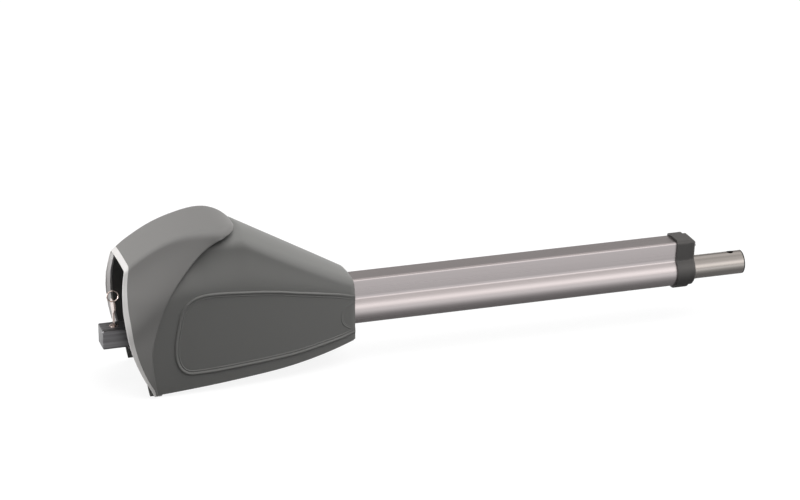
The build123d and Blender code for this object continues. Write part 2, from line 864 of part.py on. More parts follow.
with BuildPart() as nut_guide:
    add(ring(rod_start, bore_radius - run_gap, rod_radius, guide_length))
part_file(nut_guide, "nut_guide")

with BuildPart() as push_rod:
    add(ring(rod_start, rod_radius, rod_bore_radius, rod_tip - rod_start))
    chamfer(push_rod.edges().filter_by(GeomType.CIRCLE).sort_by(Axis.X)[-1:], 0.8)
    with Locations((rod_tip - rod_hole_from_tip, 0, rod_radius)):
        Hole(rod_hole_radius)
part_file(push_rod, "push_rod")

with BuildPart() as rod_plug:
    with BuildSketch(Plane.YZ.offset(rod_tip - rod_plug_length)):
        Circle(rod_bore_radius)
    extrude(amount=rod_plug_length - 1)
    with Locations((rod_tip - rod_hole_from_tip, 0, rod_radius)):
        Hole(rod_hole_radius)
part_file(rod_plug, "rod_plug")

# Profile tube with its two screw ports
with BuildPart() as profile_tube:
    with BuildSketch(Plane.YZ.offset(case_cover_front)):
        add(tube_outline())
        Circle(bore_radius, mode=Mode.SUBTRACT)
        with BuildSketch(mode=Mode.PRIVATE) as channel:
            with BuildLine():
                Polyline(
                    (-tube_top_half + tube_wall, tube_top - tube_wall),
                    (-waist_half + tube_wall, waist_height - 4),
                    (waist_half - tube_wall, waist_height - 4),
                    (tube_top_half - tube_wall, tube_top - tube_wall),
                    close=True,
                )
            make_face()
            Circle(lobe_radius, mode=Mode.SUBTRACT)
            with Locations(*screw_ports):
                Circle(screw_port_radius + 2, mode=Mode.SUBTRACT)
        add(channel.sketch, mode=Mode.SUBTRACT)
        with Locations(*screw_ports):
            Circle(screw_port_radius, mode=Mode.SUBTRACT)
    extrude(amount=tube_end - case_cover_front)
part_file(profile_tube, "profile_tube")

with BuildPart() as tube_flange:
    with BuildSketch(Plane.YZ.offset(case_cover_front)):
        with Locations((0, (tube_top - case_low_radius) / 2 + 0.5)):
            RectangleRounded(2 * flange_half, tube_top + case_low_radius - 4, 6)
        add(tube_outline(run_gap), mode=Mode.SUBTRACT)
        with Locations(*case_screw_places()):
            Circle(2 * case_screw_radius + 1, mode=Mode.SUBTRACT)
        with Locations(*flange_screw_places):
            Circle(case_screw_radius + run_gap, mode=Mode.SUBTRACT)
    extrude(amount=flange_thick)
part_file(tube_flange, "tube_flange")

with BuildPart() as flange_screws:
    add(
        screw_along_x(
            case_cover_front + flange_thick,
            flange_screw_places,
            case_screw_radius,
            flange_thick + thread_depth - 1,
            2 * case_screw_radius,
            screw_head_height,
        )
    )
part_file(flange_screws, "flange_screws")

# Front cap, guide bush and wiper seal
with BuildPart() as front_cap:
    with BuildSketch(Plane.YZ.offset(cap_rear)):
        add(tube_outline(cap_proud))
    extrude(amount=cap_step - cap_rear)
    with BuildSketch(Plane.YZ.offset(cap_step)):
        add(tube_outline(cap_proud - cap_nose_inset))
    extrude(amount=cap_front - cap_step)
    chamfer(front_cap.faces().sort_by(Axis.X)[-1].edges(), cap_bevel)
    with BuildSketch(Plane.YZ.offset(cap_rear)):
        add(tube_outline(run_gap))
    extrude(amount=tube_end - cap_rear, mode=Mode.SUBTRACT)
    with BuildSketch(Plane.YZ.offset(tube_end)):
        Circle(rod_radius + seat_gap)
        with Locations(*screw_ports):
            Circle(screw_port_radius)
    extrude(amount=cap_front - tube_end, mode=Mode.SUBTRACT)
    with BuildSketch(Plane.YZ.offset(cap_front - seal_length)):
        Circle(seal_radius)
    extrude(amount=seal_length, mode=Mode.SUBTRACT)
part_file(front_cap, "front_cap")

with BuildPart() as cap_screws:
    add(screw_along_x(cap_front, screw_ports, screw_port_radius, 28, 3, 1.6))
part_file(cap_screws, "cap_screws")

with BuildPart() as rod_bush:
    add(ring(tube_end - bush_length, bore_radius, rod_radius + run_gap, bush_length))
part_file(rod_bush, "rod_bush")

with BuildPart() as wiper_seal:
    add(ring(cap_front - seal_length, seal_radius, rod_radius + run_gap, seal_length))
part_file(wiper_seal, "wiper_seal")

# Capacitor in its clip, terminal block and cable gland on the tray
clip_x = capacitor_x + 10
clip_floor = tray_floor(clip_x + clip_width) + floor_gap
capacitor_z = clip_floor + capacitor_radius + 5
with BuildPart() as capacitor:
    with BuildSketch(Plane.YZ.offset(capacitor_x)):
        with Locations((capacitor_y, capacitor_z)):
            Circle(capacitor_radius)
    extrude(amount=capacitor_length)
    fillet(capacitor.faces().filter_by(GeomType.PLANE).edges(), 1)
part_file(capacitor, "capacitor")

with BuildPart() as capacitor_clip:
    with BuildSketch(Plane.YZ.offset(clip_x)):
        with Locations((capacitor_y, capacitor_z)):
            Circle(capacitor_radius + 1.5)
        with Locations((capacitor_y, (capacitor_z + clip_floor) / 2)):
            Rectangle(16, capacitor_z - clip_floor)
        with Locations((capacitor_y, capacitor_z)):
            Circle(capacitor_radius, mode=Mode.SUBTRACT)
    extrude(amount=clip_width)
part_file(capacitor_clip, "capacitor_clip")

terminal_floor = tray_floor(terminal_x + terminal_length / 2) + floor_gap
with BuildPart() as terminal_block:
    with BuildSketch(Plane.XY.offset(terminal_floor)):
        with Locations((terminal_x, -capacitor_y)):
            Rectangle(terminal_length, terminal_width)
    extrude(amount=terminal_height)
    chamfer(terminal_block.faces().sort_by(Axis.Z)[-1].edges().filter_by(Axis.X), 5)
    with BuildSketch(Plane.XY.offset(terminal_floor + terminal_height)):
        with Locations((terminal_x, -capacitor_y)):
            with GridLocations(terminal_length / 4, 1, 4, 1):
                Circle(2)
    extrude(amount=-8, mode=Mode.SUBTRACT)
part_file(terminal_block, "terminal_block")

gland_seat = bottom_height(gland_x - gland_radius - 3) - tray_drop - floor_gap
with BuildPart() as cable_gland:
    with BuildSketch(Plane.XY.offset(gland_floor + 3)):
        with Locations((gland_x, 0)):
            Circle(gland_radius)
    extrude(amount=gland_seat - gland_floor - 3)
    with BuildSketch(Plane.XY.offset(gland_seat)):
        with Locations((gland_x, 0)):
            RegularPolygon(gland_radius + 3, 6)
    extrude(amount=-5)
    with BuildSketch(Plane.XY.offset(gland_floor + 3)):
        with Locations((gland_x, 0)):
            Circle(gland_radius - 4)
    extrude(amount=-20, mode=Mode.SUBTRACT)
part_file(cable_gland, "cable_gland")
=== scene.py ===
import math

import bmesh
import bpy
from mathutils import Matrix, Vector


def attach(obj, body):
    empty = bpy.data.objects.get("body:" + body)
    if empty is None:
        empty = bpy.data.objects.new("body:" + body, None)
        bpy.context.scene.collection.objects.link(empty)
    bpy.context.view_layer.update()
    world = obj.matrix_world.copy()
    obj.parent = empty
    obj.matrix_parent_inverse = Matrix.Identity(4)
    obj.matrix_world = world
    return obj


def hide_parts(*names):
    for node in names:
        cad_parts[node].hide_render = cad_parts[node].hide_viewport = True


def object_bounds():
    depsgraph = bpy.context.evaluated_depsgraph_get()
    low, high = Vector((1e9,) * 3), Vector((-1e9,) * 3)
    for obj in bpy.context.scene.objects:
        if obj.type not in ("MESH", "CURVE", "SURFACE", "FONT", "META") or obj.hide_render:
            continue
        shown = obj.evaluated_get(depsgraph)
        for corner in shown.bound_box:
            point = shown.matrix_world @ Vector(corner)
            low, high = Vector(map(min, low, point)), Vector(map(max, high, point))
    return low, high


bl_info = {
    "name": "Swing gate opener",
    "version": (1, 0, 0),
    "blender": (4, 5, 0),
    "location": "View3D > Sidebar > Gate Opener",
    "description": "Dresses the packed swing gate opener and sets up its studio",
    "category": "Object",
}

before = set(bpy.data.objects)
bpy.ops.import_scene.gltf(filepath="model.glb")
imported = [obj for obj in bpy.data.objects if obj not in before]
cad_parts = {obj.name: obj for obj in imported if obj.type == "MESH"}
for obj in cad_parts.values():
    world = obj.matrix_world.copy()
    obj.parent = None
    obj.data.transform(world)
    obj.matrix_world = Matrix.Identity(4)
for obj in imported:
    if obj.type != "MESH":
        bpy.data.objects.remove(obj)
cad_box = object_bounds()

MM = 0.001


class HousingSizes(bpy.types.PropertyGroup):
    """Sizes of the moulded housing."""

    wall: bpy.props.FloatProperty(
        name="Wall", description="Thickness of the shells", default=0.0025, unit="LENGTH"
    )
    edge_radius: bpy.props.FloatProperty(
        name="Edge radius",
        description="Rounding of the shells' edges",
        default=0.0009,
        unit="LENGTH",
    )
    trim_depth: bpy.props.FloatProperty(
        name="Trim depth",
        description="Width of the pale strip round the open back",
        default=0.0052,
        unit="LENGTH",
    )
    bead_width: bpy.props.FloatProperty(
        name="Bead width",
        description="Width of the double bead on the sides",
        default=0.0074,
        unit="LENGTH",
    )
    bead_height: bpy.props.FloatProperty(
        name="Bead height", description="How far the bead stands out", default=0.0014, unit="LENGTH"
    )


class Finishes(bpy.types.PropertyGroup):
    """Colours of the finishes."""

    hood: bpy.props.FloatVectorProperty(
        name="Hood",
        description="Grey of the rear hood",
        subtype="COLOR",
        size=3,
        default=(0.17, 0.167, 0.162),
    )
    cover: bpy.props.FloatVectorProperty(
        name="Cover",
        description="Grey of the front cover",
        subtype="COLOR",
        size=3,
        default=(0.16, 0.16, 0.154),
    )
    trim: bpy.props.FloatVectorProperty(
        name="Trim",
        description="Pale grey of the strip",
        subtype="COLOR",
        size=3,
        default=(0.56, 0.545, 0.535),
    )
    tube: bpy.props.FloatVectorProperty(
        name="Tube",
        description="Anodised aluminium",
        subtype="COLOR",
        size=3,
        default=(0.46, 0.423, 0.424),
    )
    rod: bpy.props.FloatVectorProperty(
        name="Rod",
        description="Ground steel",
        subtype="COLOR",
        size=3,
        default=(0.37, 0.345, 0.325),
    )


# Sizes below are in millimetres. x runs along the screw, y across it and z upwards.

# Side-view curves of the housing, each as (height, place along the screw)
RIM = [(-61, 26.5), (-32.5, 10.1), (1, -2.0), (40.5, -8.2), (68, -7.8), (94, -3.2), (140, 8)]
SEAM = [
    (-61, 26.5), (-53, 24.9), (-35, 22.2), (-12, 20.3), (2, 21.3), (17, 25), (32.5, 29.8),
    (47.6, 35.6), (62, 42.6), (76.7, 52.3), (90.7, 64.2), (105.6, 78.4), (117.3, 91.6),
    (124, 102.4), (127.5, 114.5), (129, 126), (130, 134), (131.5, 150),
]

# Curves of the hood, each as (place along the screw, size)
HOOD_TOP = [
    (-16, 84.5), (-1, 96.8), (13, 107.5), (39, 122.4), (61, 131), (82, 135.3), (103, 136.7),
    (115, 136.7), (126, 134.7), (134, 130.5), (139, 124.5),
]
HOOD_SHOULDER = [
    (-16, 38), (13, 38.8), (50, 40.5), (70, 43), (86, 47.5), (100, 51.5), (112, 50), (122, 43),
    (130, 33), (136, 20), (139, 10),
]
SIDE_HALF = 65.3
HOOD_NOSE_START = 104
HOOD_NOSE = 139.0
HOOD_NOSE_TAPER = 0.42
HOOD_CROWN_DROP = 0.6
# Rounding between side and top, and the places between which it grows
HOOD_CORNER, HOOD_CORNER_GROWTH = 5, 8
HOOD_CORNER_SPAN = (30, 110)
# How the leaning side arrives under the top, as (inwards, upwards) shares of its length
HOOD_LEAN_END = (0.215, 0.977)
COVER_LEAN_END = (0.1, 1.1)
# How far the hood draws in for each millimetre behind the seam, and the heights at which that
# fades in and out
HOOD_DRAW = 0.29
DRAW_FADE_IN = (-50, -30)
DRAW_FADE_OUT = (62, 7)

COVER_BREAK = 143.0
COVER_FRONT = 280.0
COVER_SIDE_BREAK = 60
COVER_SIDE_HALF = 62.2
COVER_SIDE_TAPER = 30.2
COVER_SHOULDER = 46
COVER_SHOULDER_TAPER = 16.5
COVER_BREAK_TOP = 125
COVER_SLOPE = 0.5642
COVER_TOP_LIMIT = 126.6
COVER_CROWN_CURVE = 0.004
COVER_CORNER = 8.5
# Room that the cover leaves under the hood, at the hood's shoulder and at its top
UNDER_SHOULDER = 4
UNDER_TOP = 5
COVER_ROUND = 3.0
COVER_EDGE_RADIUS = 0.2

FLARE_START_X = -18
FLARE_PEAK_X = 76
FLARE_PEAK = 63
FLARE_FALL = 37
SIDE_CURVE = 1.9

BOTTOM_REAR = -57.5
BOTTOM_LEVEL_END = 24
BOTTOM_SLOPE = 0.07
BOTTOM_SWEEP_START = 170
BOTTOM_SWEEP = 10.7
LEAN_HEIGHT_MIN = 18

# The strip's ends stay this far behind the seam, and the hood starts this far past the strip
TRIM_START_BEHIND, TRIM_END_BEHIND, HOOD_PAST_TRIM = 3, 1.5, 0.3
# The strip's thickness in walls, and where the splayed strip starts
TRIM_WALLS, TRIM_REAR_WALLS = 2.1, 0.7
# Heights between which the strip goes from half its width to the full one
TRIM_WIDENS = (-45, 30)

# Points round half of a cross-section: upright side, lean inwards, corner and top
SIDE_STEPS, FLARE_STEPS, CORNER_STEPS, TOP_STEPS = 12, 13, 7, 8
HOOD_ROWS, TRIM_ROWS, COVER_ROWS, ROUND_STEPS = 56, 8, 60, 5
EDGE_POINTS = 5

# Outline of the tube that the cover's front wall opens for, the point inside it that the wall's
# points are laid out round, and the gap left to it
TUBE_LOBE, TUBE_WAIST, TUBE_WAIST_TOP = 20.4, 13.2, 19.0
TUBE_TOP_HALF, TUBE_TOP, TUBE_BEVEL = 15.2, 41.5, 2.5
TUBE_CENTRE = (0.0, 15.0)
TUBE_GAP = 0.4

# The bead on the cover's side as (place along the screw, height), from the top of the front edge
# round to its bottom
BEAD = [
    (281, 24.5), (272, 27.5), (258.8, 31.9), (244.5, 35.6), (220.9, 41.4), (200, 46),
    (179.4, 50.8), (155, 54.9), (132.1, 57.7), (115, 59.7), (99.1, 60.8), (87, 60.6),
    (77.4, 58.7), (70.5, 55.3), (65.3, 50.6), (61, 44.5), (57.8, 36.8), (54.1, 19.2), (52, 8),
    (51.3, -3.3), (51.4, -11.5), (53, -19.4), (55.6, -25.5), (59.8, -30.4), (64.5, -33),
    (71, -34.2), (96.8, -34.2), (141.5, -32.4), (187.2, -30.6), (210.6, -28.6), (234.3, -25.4),
    (258.4, -22), (272, -19.3), (281, -17.4),
]

# Cross-section of the double bead, as shares of (half its width, its height)
BEAD_PROFILE = [
    (-1.0, -0.5), (-0.92, 0.0), (-0.8, 0.3), (-0.68, 0.38), (-0.56, 0.3), (-0.44, 0.12),
    (-0.3, 0.14), (-0.12, 0.5), (0.08, 0.88), (0.3, 1.0), (0.5, 0.86), (0.66, 0.5), (0.8, 0.0),
    (0.86, -0.5),
]

# The faint arc inside the bead, near the cover's front edge
FRONT_ARC = [
    (279, 19.6), (277.6, 18.8), (268.4, 15.4), (262.3, 8.6), (261.5, 0.7), (264, -6), (270, -11),
    (277, -14),
]
ARC_PART = 0.32
# Share of its height with which a strip starts, the steps over which it grows to full height at
# its start and at its end, and how far behind the cover's front it stops
STRIP_START, STRIP_GROWS, STRIP_FADES = 0.15, 30, 12
STRIP_BEHIND_FRONT = 0.6


def smooth_value(points, place):
    """Value at one place of a smooth curve through (place, value) points."""
    if place <= points[0][0]:
        (a, u), (b, v) = points[0], points[1]
        return u + (v - u) * (place - a) / (b - a)
    if place >= points[-1][0]:
        (a, u), (b, v) = points[-2], points[-1]
        return v + (v - u) * (place - b) / (b - a)
    i = max(k for k in range(len(points) - 1) if points[k][0] <= place)

    def slope(k):
        low = points[max(k - 1, 0)]
        high = points[min(k + 1, len(points) - 1)]
        return (high[1] - low[1]) / (high[0] - low[0])

    (a, u), (b, v) = points[i], points[i + 1]
    span = b - a
    t = (place - a) / span
    return (
        (2 * t**3 - 3 * t**2 + 1) * u
        + (t**3 - 2 * t**2 + t) * span * slope(i)
        + (-2 * t**3 + 3 * t**2) * v
        + (t**3 - t**2) * span * slope(i + 1)
    )


def past(value, start, end):
    """How far a value is past the start, where the end counts as 1."""
    return max(0.0, (value - start) / (end - start))


def share(value, start, end):
    """How far a value is from the start to the end, between 0 and 1."""
    return min(1.0, past(value, start, end))


def flare_base(x):
    """Height at which the upright side starts to lean inwards."""
    if x < FLARE_PEAK_X:
        span = FLARE_PEAK_X - FLARE_START_X
        return FLARE_PEAK * math.sin(math.pi / 2 * (x - FLARE_START_X) / span)
    along = (x - FLARE_PEAK_X) / (COVER_FRONT - FLARE_PEAK_X)
    return FLARE_PEAK - FLARE_FALL * along**SIDE_CURVE


def bottom_height(x):
    """Height of the housing's bottom edge."""
    sweep = past(x, BOTTOM_SWEEP_START, COVER_FRONT)
    rise = BOTTOM_SLOPE * max(0.0, x - BOTTOM_LEVEL_END)
    return BOTTOM_REAR + rise + BOTTOM_SWEEP * sweep**2


def hood_section(x):
    """Cross-section of the rear hood at one place."""
    nose = past(x, HOOD_NOSE_START, HOOD_NOSE)
    wide = SIDE_HALF * (1 - HOOD_NOSE_TAPER * nose**2.2)
    shoulder = smooth_value(HOOD_SHOULDER, x)
    crown = smooth_value(HOOD_TOP, x)
    corner = HOOD_CORNER + HOOD_CORNER_GROWTH * share(x, *HOOD_CORNER_SPAN) ** 1.5
    outline = []
    for y, z in shell_outline(x, wide, shoulder, crown, HOOD_CROWN_DROP, corner, HOOD_LEAN_END):
        # Low on the sides the hood draws in towards its open back
        draw = HOOD_DRAW * share(z, *DRAW_FADE_IN) * share(z, *DRAW_FADE_OUT)
        pull = draw * max(0.0, smooth_value(SEAM, z) - x)
        outline.append((y - math.copysign(pull, y), z))
    return outline


def cover_half(x):
    """Half-width of the cover's upright side."""
    along = past(x, COVER_SIDE_BREAK, COVER_FRONT)
    return COVER_SIDE_HALF - COVER_SIDE_TAPER * along**SIDE_CURVE


def cover_section(x, inset=0.0):
    """Cross-section of the front cover at one place, drawn smaller by inset."""
    along = past(x, COVER_BREAK, COVER_FRONT)
    under_shoulder = smooth_value(HOOD_SHOULDER, min(x, 100)) - UNDER_SHOULDER
    shoulder = min(COVER_SHOULDER - COVER_SHOULDER_TAPER * along**2, under_shoulder) - inset
    line = COVER_BREAK_TOP - COVER_SLOPE * (x - COVER_BREAK)
    under_top = smooth_value(HOOD_TOP, min(x, 114)) - UNDER_TOP
    crown = min(line, under_top, COVER_TOP_LIMIT) - inset
    drop = COVER_CROWN_CURVE * shoulder**2
    wide = cover_half(x) - inset
    return shell_outline(x, wide, shoulder, crown, drop, COVER_CORNER, COVER_LEAN_END)


def shell_outline(x, wide, shoulder, crown, drop, corner, lean_end):
    """Points (y, z) of a shell's cross-section, from its near bottom edge over the top."""
    bottom = bottom_height(x)
    base = min(flare_base(x), crown - LEAN_HEIGHT_MIN)
    edge = crown - drop
    reach = math.hypot(wide - shoulder, edge - base)
    corner = min(corner, 0.45 * shoulder, 0.4 * reach)
    cut = 1 - corner / reach

    def flare(t):
        h00, h10 = 2 * t**3 - 3 * t**2 + 1, t**3 - 2 * t**2 + t
        h01, h11 = -2 * t**3 + 3 * t**2, t**3 - t**2
        y = h00 * wide + h01 * shoulder - lean_end[0] * reach * h11
        z = h00 * base + h01 * edge + reach * h10 + lean_end[1] * reach * h11
        return y, z

    def top(y):
        return y, crown - drop * (y / shoulder) ** 2

    half = [(wide, bottom + (base - bottom) * i / SIDE_STEPS) for i in range(SIDE_STEPS)]
    half += [flare(cut * i / FLARE_STEPS) for i in range(FLARE_STEPS + 1)]
    start, end = half[-1], top(shoulder - corner)
    for i in range(1, CORNER_STEPS):
        t = i / CORNER_STEPS
        a, b, c = (1 - t) ** 2, 2 * t * (1 - t), t * t
        y = a * start[0] + b * shoulder + c * end[0]
        half.append((y, a * start[1] + b * edge + c * end[1]))
    half += [top((shoulder - corner) * (1 - i / TOP_STEPS)) for i in range(TOP_STEPS + 1)]
    return [(-y, z) for y, z in half] + [(y, z) for y, z in reversed(half[:-1])]


COLUMNS = len(hood_section(50))


def column_end(section, column, curve, low, high):
    """Place along the screw at which one column of a section meets a side-view curve."""

    def ahead(x):
        return x - smooth_value(curve, section(x)[column][1])

    if ahead(high) < 0:
        return high
    for _ in range(24):
        middle = (low + high) / 2
        if ahead(middle) < 0:
            low = middle
        else:
            high = middle
    return (low + high) / 2


def surface_grid(section, starts, ends, rows):
    """Points of a shell's outside, one list for each column."""
    grid = []
    for column in range(COLUMNS):
        line = []
        for row in range(rows + 1):
            x = starts[column] + (ends[column] - starts[column]) * row / rows
            y, z = section(x)[column]
            line.append(Vector((x, y, z)) * MM)
        grid.append(line)
    return grid


def grid_normals(grid):
    """Outward normal at each point of a grid."""
    normals = []
    last = len(grid) - 1
    for i, line in enumerate(grid):
        row = []
        end = len(line) - 1
        for j in range(len(line)):
            across = grid[min(i + 1, last)][j] - grid[max(i - 1, 0)][j]
            along = line[min(j + 1, end)] - line[max(j - 1, 0)]
            row.append(along.cross(across).normalized())
        normals.append(row)
    return normals


def rounded_edge(point, normal, outward, wall, bulge):
    """Points round the edge of a wall, from its outside to its inside."""
    points = []
    for step in range(1, EDGE_POINTS + 1):
        turn = math.pi * step / (EDGE_POINTS + 1)
        depth = wall / 2 * (1 - math.cos(turn))
        points.append(point - normal * depth + outward * bulge * math.sin(turn))
    return points


def shell_mesh(name, grid, wall, edge, rear_wall=None):
    """Closed shell: the grid outside, its copy one wall further in, and rounded edges.

    With a rear wall given, the inside is splayed: the wall starts that thick at its rear edge and
    has its full thickness from half-way on.
    """
    rear_wall = rear_wall or wall
    normals = grid_normals(grid)
    rows = len(grid[0])
    last = rows - 1
    walls = [rear_wall + (wall - rear_wall) * min(1.0, 2.0 * row / last) for row in range(rows)]
    vertices, rings = [], []
    for line, normal in zip(grid, normals):
        inner = [p - n * w for p, n, w in zip(line, normal, walls)]
        front = (line[-1] - line[-2]).normalized()
        rear = (line[0] - line[1]).normalized()
        ring = list(line)
        ring += rounded_edge(line[-1], normal[-1], front, wall, edge)
        ring += reversed(inner)
        ring += reversed(rounded_edge(line[0], normal[0], rear, rear_wall, edge))
        rings.append([len(vertices) + k for k in range(len(ring))])
        vertices += ring
    faces = []
    size = len(rings[0])
    for a, b in zip(rings, rings[1:]):
        for k in range(size):
            n = (k + 1) % size
            faces.append((a[k], b[k], b[n], a[n]))
    inside = rows + EDGE_POINTS
    for ring, flip in ((rings[0], False), (rings[-1], True)):
        back = [ring[inside + rows - 1 - k] for k in range(rows)]
        for k in range(rows - 1):
            face = (ring[k], ring[k + 1], back[k + 1], back[k])
            faces.append(tuple(reversed(face)) if flip else face)
        front_cap = [ring[rows - 1]] + ring[rows:inside] + [back[-1]]
        rear_cap = [back[0]] + ring[inside + rows :] + [ring[0]]
        for cap in (front_cap, rear_cap):
            faces.append(tuple(reversed(cap)) if flip else tuple(cap))
    return mesh_object(name, vertices, faces)


def mesh_object(name, vertices, faces, sharp_degrees=35):
    """Object with a smooth mesh, whose edges are sharp past one angle."""
    mesh = bpy.data.meshes.new(name)
    mesh.from_pydata([tuple(v) for v in vertices], [], faces)
    mesh.validate()
    work = bmesh.new()
    work.from_mesh(mesh)
    bmesh.ops.recalc_face_normals(work, faces=work.faces)
    work.to_mesh(mesh)
    work.free()
    mesh.shade_smooth()
    mesh.set_sharp_from_angle(angle=math.radians(sharp_degrees))
    piece = bpy.data.objects.new(name, mesh)
    bpy.context.scene.collection.objects.link(piece)
    return piece


def dress(piece, node, body, material):
    """Give a piece its body, slot and finish, and let it stand for a CAD node if one is named."""
    piece.data.materials.clear()
    piece.data.materials.append(material)
    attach(piece, body)
    if node:
        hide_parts(node)


def add_node(tree, kind, inputs=None, **settings):
    """New shader node. Each input is a value to set on it or a socket to link to it."""
    node = tree.nodes.new("ShaderNode" + kind)
    for setting, value in settings.items():
        setattr(node, setting, value)
    for label, value in (inputs or {}).items():
        if isinstance(value, bpy.types.NodeSocket):
            tree.links.new(value, node.inputs[label])
        else:
            node.inputs[label].default_value = value
    return node


# Shader node groups: what several finishes share


def effect_group(name, inputs):
    """Empty shader group with named inputs that puts out a colour, a roughness and a height."""
    tree = bpy.data.node_groups.new(name, "ShaderNodeTree")
    for label, kind, value in inputs:
        socket = tree.interface.new_socket(name=label, in_out="INPUT", socket_type=kind)
        socket.default_value = value
    for label, kind in (
        ("Color", "NodeSocketColor"),
        ("Roughness", "NodeSocketFloat"),
        ("Height", "NodeSocketFloat"),
    ):
        tree.interface.new_socket(name=label, in_out="OUTPUT", socket_type=kind)
    return tree, tree.nodes.new("NodeGroupInput"), tree.nodes.new("NodeGroupOutput")


def vary(tree, enter, pattern, gloss_change):
    """A group's colour and roughness, moved up and down by a pattern."""
    centred = add_node(tree, "Math", {0: pattern, 1: 0.5}, operation="SUBTRACT").outputs[0]
    amount = add_node(
        tree, "Math", {0: centred, 1: enter.outputs["Tone"], 2: 1}, operation="MULTIPLY_ADD"
    )
    tint = add_node(
        tree,
        "VectorMath",
        {0: enter.outputs["Color"], "Scale": amount.outputs[0]},
        operation="SCALE",
    )
    gloss = add_node(
        tree,
        "Math",
        {0: centred, 1: gloss_change, 2: enter.outputs["Roughness"]},
        operation="MULTIPLY_ADD",
    )
    return tint.outputs["Vector"], gloss.outputs[0]


def put_out(tree, leave, color, roughness, height):
    """Link a group's three outputs."""
    for label, socket in (("Color", color), ("Roughness", roughness), ("Height", height)):
        tree.links.new(socket, leave.inputs[label])


def moulded_grain():
    """Fine pebbled texture of a moulded or cast surface and its slow variation of tone."""
    name = "moulded_grain"
    if name in bpy.data.node_groups:
        return bpy.data.node_groups[name]
    tree, enter, leave = effect_group(
        name,
        [
            ("Color", "NodeSocketColor", (0.2, 0.2, 0.2, 1)),
            ("Grain Scale", "NodeSocketFloat", 1600.0),
            ("Tone", "NodeSocketFloat", 0.05),
            ("Roughness", "NodeSocketFloat", 0.5),
        ],
    )
    place = add_node(tree, "TexCoord").outputs["Object"]
    grain_scale = enter.outputs["Grain Scale"]
    fine = add_node(tree, "TexNoise", {"Vector": place, "Scale": grain_scale, "Detail": 3})
    slow = add_node(tree, "TexNoise", {"Vector": place, "Scale": 14, "Detail": 4})
    color, roughness = vary(tree, enter, slow.outputs["Fac"], 0.12)
    put_out(tree, leave, color, roughness, fine.outputs["Fac"])
    return tree


def drawn_metal():
    """Fine lines along the screw's axis, as on a drawn tube or a ground rod, with painted shade
    near-black past one place on x.
    """
    name = "drawn_metal"
    if name in bpy.data.node_groups:
        return bpy.data.node_groups[name]
    tree, enter, leave = effect_group(
        name,
        [
            ("Color", "NodeSocketColor", (0.5, 0.5, 0.5, 1)),
            ("Along", "NodeSocketFloat", 2.0),
            ("Across", "NodeSocketFloat", 900.0),
            ("Tone", "NodeSocketFloat", 0.12),
            ("Roughness", "NodeSocketFloat", 0.3),
            ("Dark End", "NodeSocketFloat", 10.0),
        ],
    )
    place = add_node(tree, "TexCoord").outputs["Object"]
    along, across = enter.outputs["Along"], enter.outputs["Across"]
    stretch = add_node(tree, "CombineXYZ", {"X": along, "Y": across, "Z": across})
    scaled = add_node(
        tree, "VectorMath", {0: place, 1: stretch.outputs[0]}, operation="MULTIPLY"
    )
    lines = add_node(tree, "TexNoise", {"Vector": scaled.outputs[0], "Scale": 1, "Detail": 3})
    color, roughness = vary(tree, enter, lines.outputs["Fac"], 0.15)
    apart = add_node(tree, "SeparateXYZ", {0: place})
    end = add_node(
        tree,
        "Math",
        {0: apart.outputs["X"], 1: enter.outputs["Dark End"]},
        operation="GREATER_THAN",
    )
    # Painted shade: past that place the colour turns near-black, for the rod's dark end chamfer
    painted_end_shade = add_node(
        tree,
        "Mix",
        {"Factor": end.outputs[0], "A": color, "B": (0.035, 0.034, 0.033, 1)},
        data_type="RGBA",
    )
    put_out(tree, leave, painted_end_shade.outputs["Result"], roughness, lines.outputs["Fac"])
    return tree


def finish_material(
    name, group, color, roughness, metallic=0.0, bump=0.1, distance=0.0001, **values
):
    """Principled material whose colour, roughness and bump come from one shared effect."""
    name = name + "_finish"
    if name in bpy.data.materials:
        return bpy.data.materials[name]
    material = bpy.data.materials.new(name)
    material.use_nodes = True
    tree = material.node_tree
    shader = tree.nodes["Principled BSDF"]
    effect = tree.nodes.new("ShaderNodeGroup")
    effect.node_tree = group
    effect.inputs["Color"].default_value = (*color, 1)
    effect.inputs["Roughness"].default_value = roughness
    for label, value in values.items():
        effect.inputs[label.replace("_", " ").title()].default_value = value
    height = effect.outputs["Height"]
    relief = add_node(tree, "Bump", {"Strength": bump, "Distance": distance, "Height": height})
    tree.links.new(effect.outputs["Color"], shader.inputs["Base Color"])
    tree.links.new(effect.outputs["Roughness"], shader.inputs["Roughness"])
    tree.links.new(relief.outputs["Normal"], shader.inputs["Normal"])
    shader.inputs["Metallic"].default_value = metallic
    shader.inputs["Specular IOR Level"].default_value = 0.5 if metallic else 0.22
    return material


